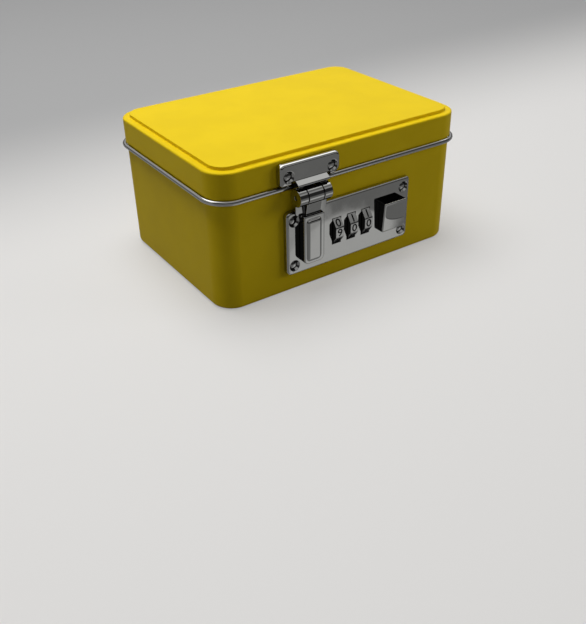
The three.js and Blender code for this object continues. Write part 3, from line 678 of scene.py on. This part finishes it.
plate = add_slab(
    "lock_plate", (lock_x, lock_z), (plate_width, plate_height), (1.7, 2.8, 2.8, 2.8),
    0.05, plate_face, plate_rounding, segments=6,
)
shape_with(plate, add_box(
    "case",
    (lock_x - case_half_width, out(1.6), lock_z - case_half_height),
    (lock_x + case_half_width, out(-14.5), lock_z + case_half_height),
), "UNION")
shape_with(plate, add_box(
    "case_room",
    (lock_x - case_half_width + case_wall, out(1.8), lock_z - case_half_height + case_wall),
    (lock_x + case_half_width - case_wall, out(-16), lock_z + case_half_height - case_wall),
), "DIFFERENCE")
window_half = dial_half + window_room
for x in dial_x:
    shape_with(plate, add_bar(
        "window", dial_corner + window_room, (x - window_half, dial_y, dial_z),
        (x + window_half, dial_y, dial_z), "X", sides=96,
    ), "DIFFERENCE")
staple_left = hasp_x - slot_half_width
staple_right = hasp_x + slot_half_width
slots = {
    "staple_slot": ((staple_left, out(4), lock_z - 9.1), (staple_right, out(0.8), lock_z + 14.85)),
    "staple_groove": ((staple_left, out(4), lock_z + 14), (staple_right, out(0.35), lock_z + plate_height)),
    "stem_slot": ((stem_x - 2.3, out(4), button_z - 3.8), (stem_x + 5.3, out(0.8), button_z + 3.8)),
}
for name, (low, high) in slots.items():
    shape_with(plate, add_box(name, low, high), "DIFFERENCE")
for x, z in rivet_places:
    shape_with(plate, add_sink(x, z, plate_face, -1.6), "DIFFERENCE")
soften(plate, 0.18, segments=2)
hand_over(plate, "case", chrome, ["lock_housing"])

# %% [markdown]
# ## Rivets
# Each countersunk hole holds a rivet with a domed head set below the plate. The head is drawn out
# of a short bar: extruded, flared, and domed by three insets that each rise a little less.

# %% Rivets
def add_rivet(name, x, z, face, wall):
    """A rivet whose head sits below a face and whose tail closes on the wall behind."""
    shank = 1.6
    head_radius = 2.3
    tail_radius = 2.0
    inside = wall - sheet - 0.05
    head_foot = face - 1.75
    head_rim = face - 1.15
    rivet = add_bar(name, shank, (x, out(inside), z), (x, out(head_foot), z), "Y", sides=40)
    pick(rivet, "FACE", both(facing(0, -1, 0), at(1, out(head_foot))))
    push(0, head_foot - head_rim, 0)
    bpy.ops.transform.resize(value=(head_radius / shank, 1, head_radius / shank))
    for thickness, rise in ((0.3, 0.24), (0.45, 0.24), (0.55, 0.16), (0.5, 0.07)):
        bpy.ops.mesh.inset(thickness=thickness, depth=rise)
    pick(rivet, "FACE", both(facing(0, 1, 0), at(1, out(inside))))
    push(0, 0, 0)
    bpy.ops.transform.resize(value=(tail_radius / shank, 1, tail_radius / shank))
    push(0, 1, 0)
    bpy.ops.transform.resize(value=(0.8, 1, 0.8))
    face_outwards(rivet)
    return rivet


strike_face = 5.0
strike_bottom = seam + 1.95
strike_rivet_z = strike_bottom + 5
strike_rivet_x = [hasp_x + side * 13.55 for side in (-1, 1)]
for number, (x, z) in enumerate(rivet_places, start=1):
    rivet = add_rivet(f"plate_rivet_head_{number}", x, z, plate_face, 0)
    hand_over(rivet, "case", chrome, [f"plate_rivet_{number}"])
for number, x in enumerate(strike_rivet_x, start=1):
    rivet = add_rivet(f"strike_rivet_head_{number}", x, strike_rivet_z, strike_face, lid_reach)
    hand_over(rivet, "lid", chrome, [f"strike_rivet_{number}"])

# %% [markdown]
# ## The number dials
# A dial is a ten-sided drum with a nick at each corner and a number cut into each flat. The nicks
# are a bevel whose profile is hollow instead of round. Each number is a text object turned into a
# mesh and sunk into its flat, and the cut faces keep the black enamel of the number that made them.

# %% Dials
flat_turn = 2 * pi / dial_sides
number_size = 6.2
number_depth = 0.3
number_boldness = 0.12
dial_middle = Vector((dial_x[0], dial_y, dial_z))


def turned_round_axle(piece, angle):
    leave_edit_mode()
    to_axle = Matrix.Translation(-dial_middle)
    piece.data.transform(to_axle.inverted() @ Matrix.Rotation(angle, 4, "X") @ to_axle)


def add_number(number):
    """A number on the front flat, upright, half of it below the surface."""
    leave_edit_mode()
    bpy.ops.object.text_add(rotation=(pi / 2, 0, 0))
    text = bpy.context.object
    text.data.body = str(number)
    text.data.size = number_size
    text.data.extrude = number_depth
    text.data.resolution_u = 6
    text.data.offset = number_boldness
    bpy.ops.object.convert(target="MESH")
    text = bpy.context.object
    text.scale = (1.15, 1, 1)
    keep_place(text, f"number_{number}")
    bpy.ops.object.origin_set(type="ORIGIN_GEOMETRY", center="BOUNDS")
    text.location = dial_middle - Vector((0, dial_flat, 0))
    keep_place(text, f"number_{number}")
    text.data.materials.clear()
    text.data.materials.append(dial_enamel.material)
    pick(text, "FACE")
    bpy.ops.mesh.remove_doubles(threshold=0.0005)
    face_outwards(text)
    return text


half_drum = Vector((dial_half, 0, 0))
drum = add_bar("drum", dial_corner, dial_middle - half_drum, dial_middle + half_drum, "X", sides=dial_sides)
turned_round_axle(drum, flat_turn / 2)
drum.data.materials.append(wheel_chrome.material)
bore = add_bar("bore", 2.55, dial_middle - 2 * half_drum, dial_middle + 2 * half_drum, "X")
shape_with(drum, bore, "DIFFERENCE")


def beyond(radius):
    """A test for edges that lie further from the axle than a radius."""
    return lambda edge: all((corner.co - dial_middle).yz.length > radius for corner in edge.verts)


rounded(drum, both(lambda edge: not along(0)(edge), beyond(dial_flat - 1)), 0.2, segments=3)
pick(drum, "EDGE", both(along(0), beyond(dial_corner - 0.1)))
bpy.ops.mesh.bevel(offset=0.42, segments=4, profile=0.12, affect="EDGES", clamp_overlap=True)
pick(drum, "FACE")
bpy.ops.mesh.remove_doubles(threshold=0.002)
for number in range(dial_sides):
    digit = add_number(number)
    turned_round_axle(digit, -flat_turn * number)
    shape_with(drum, digit, "DIFFERENCE")

numbers_shown = (9, 0, 0)
for number, (x, shown) in enumerate(zip(dial_x, numbers_shown), start=1):
    dial = copied(drum, f"number_dial_{number}")
    turned_round_axle(dial, flat_turn * shown)
    dial.data.transform(Matrix.Translation((x - dial_x[0], 0, 0)))
    hand_over(dial, f"wheel_{number}", wheel_chrome, [f"dial_{number}"], crease=30)
bpy.data.objects.remove(drum)

# %% [markdown]
# ## The button
# The button is a block whose face leans back downwards. Its edges are rounded, and a shallow
# scoop for the thumb is cut out of its upper face with a slab that has large lower corners. The
# slab is stretched sideways and leans the other way, so that the scoop is deepest at its top.

# %% Button
button_x = lock_x + 28.1
button_half_width = 7.85
button_half_height = 8.95
button_face = plate_face + 5.2
button_fall = 1.4
button_rounding = 0.8

button = add_box(
    "thumb_button",
    (button_x - button_half_width, out(button_face), button_z - button_half_height),
    (button_x + button_half_width, out(plate_face + 0.15), button_z + button_half_height),
)
pick(button, "EDGE", both(at(1, out(button_face)), at(2, button_z - button_half_height)))
bpy.ops.transform.translate(value=(0, button_fall, 0))
rounded(
    button, lambda edge: min(corner.co.y for corner in edge.verts) < out(plate_face + 1),
    button_rounding, segments=5,
)
lean = button_fall / (2 * button_half_height)
scoop_height = 10.8
scoop_depth = 1.35
scoop_stretch = 2.56
scoop_tilt = radians(8)
scoop_top = button_half_height - 1.2
scoop = add_slab("scoop", (0, 0), (10, scoop_height), (0.4, 0.4, 4.95, 4.95), 0, 5, 0)
rounded(scoop, at(1, out(0)), 0.3, segments=4)
leave_edit_mode()
scoop_middle = (button_x + 6, out(button_face - scoop_depth), button_z + scoop_top - scoop_height / 2)
scoop.data.transform(
    Matrix.Translation(scoop_middle)
    @ Matrix.Rotation(lean - scoop_tilt, 4, "X")
    @ Matrix.Diagonal((scoop_stretch, 1, 1, 1))
    @ Matrix.Translation((0, half_depth, 0))
)
face_outwards(scoop)
shape_with(button, scoop, "DIFFERENCE")
shape_with(button, add_box(
    "stem", (stem_x - 2, out(plate_face + 1), button_z - 3.5), (stem_x + 2, out(-0.35), button_z + 3.5)
), "UNION")
soften(button, 0.15, segments=2)
hand_over(button, "button", chrome, ["push_button"])

# %% [markdown]
# ## The strike
# The strike is the half of the hasp that is riveted to the lid. A slab with two notches carries a
# hood, and under the hood a web leads down to the two outer knuckles of the barrel. The hood and
# the web are side views drawn point by point and pushed across.

# %% Strike
barrel_z = seam - 5.1
barrel_out = 5.6
barrel_radius = 4.8
barrel_half = 10.15
middle_half = 4.6
knuckle_gap = 0.6
hood_half = 9.8
hood_near = bead_reach + bead_radius + 0.3
hood_under = barrel_z + barrel_radius + 0.6
strike_back = lid_reach + 0.05
strike_width = 37.2
strike_height = 12.1
strike_rounding = 1.6
notch_width = 2.4
notch_height = 2.3
pin_bore = 1.25


def add_profile(name, pairs, low_x, high_x):
    """A side view, as pairs of distance out and height, pushed across from one x to another."""
    profile = add_outline(name, [(low_x, out(distance), z) for distance, z in pairs])
    pick(profile, "FACE")
    push(high_x - low_x, 0, 0)
    face_outwards(profile)
    return profile


def add_barrel(name, radius, low_x, high_x, sides):
    """A bar on the hasp's hinge line."""
    low, high = ((x, out(barrel_out), barrel_z) for x in (low_x, high_x))
    return add_bar(name, radius, low, high, "X", sides)


def span(side, inner, outer):
    """The lower and the upper x between two distances to one side of the hasp."""
    return sorted((hasp_x + side * inner, hasp_x + side * outer))


strike = add_slab(
    "hasp_strike", (hasp_x, strike_bottom + strike_height / 2), (strike_width, strike_height),
    (3, 2.4, 1.7, 4.8), strike_back, strike_face, strike_rounding, segments=6,
)
for side in (-1, 1):
    near, far = span(side, hood_half, hood_half + notch_width)
    shape_with(strike, add_box(
        "notch", (near, out(6), strike_bottom - 1), (far, out(-1), strike_bottom + notch_height)
    ), "DIFFERENCE")
shape_with(strike, add_profile("hood", [
    (hood_near, strike_bottom + 0.3), (hood_near, hood_under), (5.0, hood_under), (6.2, hood_under + 0.4),
    (6.6, strike_bottom - 0.9), (8.0, strike_bottom - 0.4), (8.0, strike_bottom + 0.5),
    (5.0, strike_bottom + notch_height), (strike_back + 0.2, strike_bottom + notch_height),
    (strike_back + 0.2, strike_bottom + 0.3),
], hasp_x - hood_half, hasp_x + hood_half), "UNION")
for side in (-1, 1):
    near, far = span(side, middle_half + knuckle_gap, barrel_half)
    shape_with(strike, add_barrel("knuckle", barrel_radius, near, far, 64), "UNION")
    near, far = span(side, middle_half + knuckle_gap, hood_half)
    shape_with(strike, add_profile("web", [
        (hood_near + 0.1, strike_bottom), (hood_near + 0.1, barrel_z), (barrel_out, barrel_z),
        (barrel_out, strike_bottom - 0.6),
    ], near, far), "UNION")
shape_with(strike, add_barrel("pin_hole", pin_bore, hasp_x - 12, hasp_x + 12, 48), "DIFFERENCE")
for x in strike_rivet_x:
    shape_with(strike, add_sink(x, strike_rivet_z, strike_face, -1.6), "DIFFERENCE")
soften(strike, 0.25, segments=3)
hand_over(strike, "lid", chrome, ["hinge_strike"])

# %% [markdown]
# ## The flap
# The flap hangs from the middle knuckle. It is a slab with a raised cushion on its face, two ears
# at its neck, and a band that leads up to the knuckle. Behind it sits the staple that goes into
# the lock.

# %% Flap
flap_half_width = 6.55
flap_bottom = lock_z - 12.05
flap_top = barrel_z - 11
flap_near = 3.6
flap_face = 8.0
cushion_inset = 1.7
cushion_shift = -0.5
cushion_rise = 1.2

flap_height = flap_top - flap_bottom
flap_middle = flap_bottom + flap_height / 2
flap = add_slab(
    "hasp_flap_face", (hasp_x, flap_middle), (2 * flap_half_width, flap_height),
    (0.8, 0.8, 3, 3), flap_near, flap_face, 0.7,
)
shape_with(flap, add_slab(
    "cushion", (hasp_x + cushion_shift, flap_middle),
    (2 * (flap_half_width - cushion_inset), flap_height - 2 * cushion_inset),
    (2.2, 2.2, 2.2, 2.2), flap_face - 1, flap_face + cushion_rise, 2.0, segments=10,
), "UNION")

ear_near = flap_near + 0.15
ear_top = barrel_z - 5.1
ears = add_outline("ears", [(hasp_x + x, out(ear_near), ear_top - drop) for x, drop in (
    (-6.9, 6.7), (6.9, 6.7), (9.9, 4.7), (9.9, 0), (-9.9, 0), (-9.9, 4.7),
)])
pick(ears, "FACE")
push(0, ear_near - 5.0, 0)
face_outwards(ears)
shape_with(flap, ears, "UNION")
band_near = flap_near + 0.3
shape_with(flap, add_profile("band", [
    (band_near, barrel_z), (band_near, flap_top - 3), (barrel_out + 1, flap_top - 3),
    (barrel_out + 1, flap_top), (barrel_out + barrel_radius / 2, barrel_z - barrel_radius * 0.87),
    (barrel_out, barrel_z),
], hasp_x - middle_half, hasp_x + middle_half), "UNION")
shape_with(flap, add_barrel(
    "middle_knuckle", barrel_radius, hasp_x - middle_half, hasp_x + middle_half, 64
), "UNION")
shape_with(flap, add_barrel("pin_hole", pin_bore, hasp_x - 12, hasp_x + 12, 48), "DIFFERENCE")
staple_low = lock_z - 7.9
staple = add_box(
    "staple", (hasp_x - 1.7, out(flap_near + 1), staple_low), (hasp_x + 1.7, out(-3.2), staple_low + 6)
)
shape_with(staple, add_box(
    "eye", (hasp_x - 3, out(-0.2), staple_low + 1.4), (hasp_x + 3, out(-2.0), staple_low + 4.6)
), "DIFFERENCE")
shape_with(flap, staple, "UNION")
soften(flap, 0.25, segments=3)
hand_over(flap, "hasp", chrome, ["hasp_flap"])

# %% [markdown]
# ## Small parts from the solids
# Pins, hinge straps, rivets at the back, the inner cover and its screws already have the right
# shape. A copy of each gets its doubles merged, its edges softened and its shading smoothed. What
# is closed up inside the lock case keeps its solid and only gets a material.

# %% Small parts
def softened_copy(node, body, finish, width):
    """A finished copy of a solid, with its edges rounded to a width."""
    piece = bpy.data.objects.new(node + "_finished", nodes[node].data.copy())
    bpy.context.scene.collection.objects.link(piece)
    piece.data.materials.clear()
    piece.data.transform(Matrix.Scale(1 / millimetre, 4))
    soften(piece, width, segments=2, sharper_than=40)
    hand_over(piece, body, finish, [node], crease=40)


for side in ("left", "right"):
    softened_copy(f"hinge_strap_{side}", "case", bright_tin, 0.1)
    softened_copy(f"hinge_pin_{side}", "lid", spring_steel, 0.08)
for number in (1, 2, 3, 4):
    softened_copy(f"hinge_rivet_{number}", "case", bright_tin, 0.08)
    softened_copy(f"cover_screw_{number}", "case", black_zinc, 0.06)
softened_copy("lock_cover", "case", bright_tin, 0.2)
softened_copy("hasp_pin", "lid", spring_steel, 0.1)

steel_parts = ["dial_axle", "detent_spring", "slide_bolt", "return_spring"]
brass_parts = [f"code_sleeve_{number}" for number in (1, 2, 3)]
inner_parts = {**dict.fromkeys(steel_parts, spring_steel), **dict.fromkeys(brass_parts, brass)}
for node, finish in inner_parts.items():
    for place in nodes[node].material_slots:
        place.material = finish.material
print("inner parts:", len(inner_parts))

# %% [markdown]
# ## Floor and lamps
# The box stands on a pale floor with painted shade towards the rear, where lamp light would fade.
# Part of the floor's brightness is a painted glow of its own, seen by the camera only, so that the
# shadow of the box stays soft. A large soft lamp overhead makes the top bright, and two weaker ones
# from the left rear and from the right front keep the sides deep in colour, with the corner between
# them darkest.

# %% Floor and lamps
leave_edit_mode()
bpy.ops.mesh.primitive_plane_add(size=8, location=(0, 0, -0.0002))
floor = bpy.context.object
floor.name = "floor"
floor.visible_glossy = False

floor_finish = Finish("pale_floor", Roughness=0.7, Emission_Strength=1.0)
seen = floor_finish.node("LightPath", output=0)
depth = floor_finish.node("SeparateXYZ", output=1, Vector=floor_finish.place)
# Painted shade: the floor is painted darker towards the rear, where lamp light would fade.
painted_rear_shade = depth.between(0.05, 0.32)
seen_colour = floor_finish.mix(painted_rear_shade, (0.38, 0.375, 0.365, 1), (0.19, 0.19, 0.19, 1))
# Painted glow: for the camera the floor gives off light of its own, which lightens the shadow of the box.
painted_floor_glow = floor_finish.mix(painted_rear_shade, (0.37, 0.365, 0.36, 1), (0.19, 0.19, 0.19, 1))
floor_finish.set(
    Base_Color=floor_finish.mix(seen, (0.20, 0.20, 0.20, 1), seen_colour),
    Emission_Color=floor_finish.mix(seen, (0, 0, 0, 1), painted_floor_glow),
)
floor.data.materials.append(floor_finish.material)


def add_lamp(name, place, target, size, power):
    """A soft square lamp that the metal doesn't mirror, because the room below has its own lights."""
    lamp = bpy.data.objects.new(name, bpy.data.lights.new(name, "AREA"))
    bpy.context.scene.collection.objects.link(lamp)
    lamp.location = place
    lamp.rotation_euler = (Vector(target) - Vector(place)).to_track_quat("-Z", "Y").to_euler()
    lamp.data.size = size
    lamp.data.energy = power
    lamp.visible_glossy = False
    print(name, "power in watts:", power)


add_lamp("top_lamp", (-0.1, 0.2, 0.95), (0, 0, 0.05), 0.7, 8.9)
add_lamp("left_lamp", (-1.1, 0.35, 0.5), (0, 0, 0.05), 0.6, 0.8)
add_lamp("right_lamp", (1.0, -0.7, 0.45), (0, 0, 0.05), 0.6, 3.2)

# %% [markdown]
# ## The room that the metal mirrors
# Polished metal has no look of its own: it shows the room. Overhead is a white light sheet, in
# front of it a grey ceiling with a darker gap, then a dark wall. The ground in front is grey, with
# a brighter arch where a light falls on it, and the rear is an even grey. The colour depends on the
# direction alone, so it stays put when the box is seen from elsewhere. Where light has gone to and
# fro between two metal faces, the room is painted much darker: painted shade in the metal's
# crevices. Past the floor's end the camera sees a plain grey.

# %% Room
world = bpy.data.worlds.new("studio")
world.use_nodes = True
bpy.context.scene.world = world
room = Recipe(world.node_tree)
direction = room.node("TexCoord", output=0)
east, north, height = (room.node("SeparateXYZ", output=axis, Vector=direction) for axis in range(3))

forward = (north * -1).maths("MAXIMUM", 0.05)
across = east.maths("DIVIDE", forward)
drop = height * -1
down = drop.maths("DIVIDE", forward)

is_rear = north.between(-0.2, -0.1)
under_sheet = north.between(0.05, 0.12)
overhead = height.between(0.60, 0.66) * under_sheet * 1.7
ceiling_grey = north.between(-0.3, -0.2) * 0.16 - north.between(-0.55, -0.45) * 0.2 + 0.34
ceiling = height.between(0.46, 0.56) * (1 - under_sheet) * ceiling_grey
rear_wall = height.between(0.1, 0.2) * is_rear * 0.36


def oval(middle, reach, edge):
    """1 inside an oval on the ground in front, 0 outside."""
    share = ((across - middle[0]) * (1 / reach[0])).maths("POWER", 2.0)
    share += ((down - middle[1]) * (1 / reach[1])).maths("POWER", 2.0)
    return (share * -1).between(-1 - edge, -1 + edge)


arch = oval((0.775, 1.0), (0.25, 0.385), 0.02) * 0.34
left_part = (across * -1).between(-0.75, -0.73) * down.between(0.52, 0.60) * 0.2
is_middle = east.between(-0.1, 0.1) * (east * -1).between(-0.8, -0.7)
front_ground = arch.maths("MAXIMUM", left_part) * is_middle + 0.14
ground = drop.between(0.0, 0.2) * (is_rear * 0.2 + (1 - is_rear) * front_ground)
brightness = overhead + ceiling + rear_wall + ground + 0.025
# Painted shade: after a second bounce between metal faces the room is dimmed to a twentieth, so crevices in
# the metal read dark.
painted_crevice_shade = room.node("LightPath", output=11).between(1.4, 1.6)
brightness = brightness * (1 - painted_crevice_shade * 0.95)

mirrored = room.node("LightPath", output=3)
background = world.node_tree.nodes["Background"]
room_grey = room.node("CombineColor", Red=brightness, Green=brightness, Blue=brightness)
lit_or_mirrored = room.mix(mirrored, (0.07, 0.07, 0.073, 1), room_grey)
beyond_floor = room.node("LightPath", output=0)
join_to(
    world.node_tree, background.inputs["Color"], room.mix(beyond_floor, lit_or_mirrored, (0.4, 0.4, 0.4, 1))
)
print("room nodes:", len(world.node_tree.nodes))
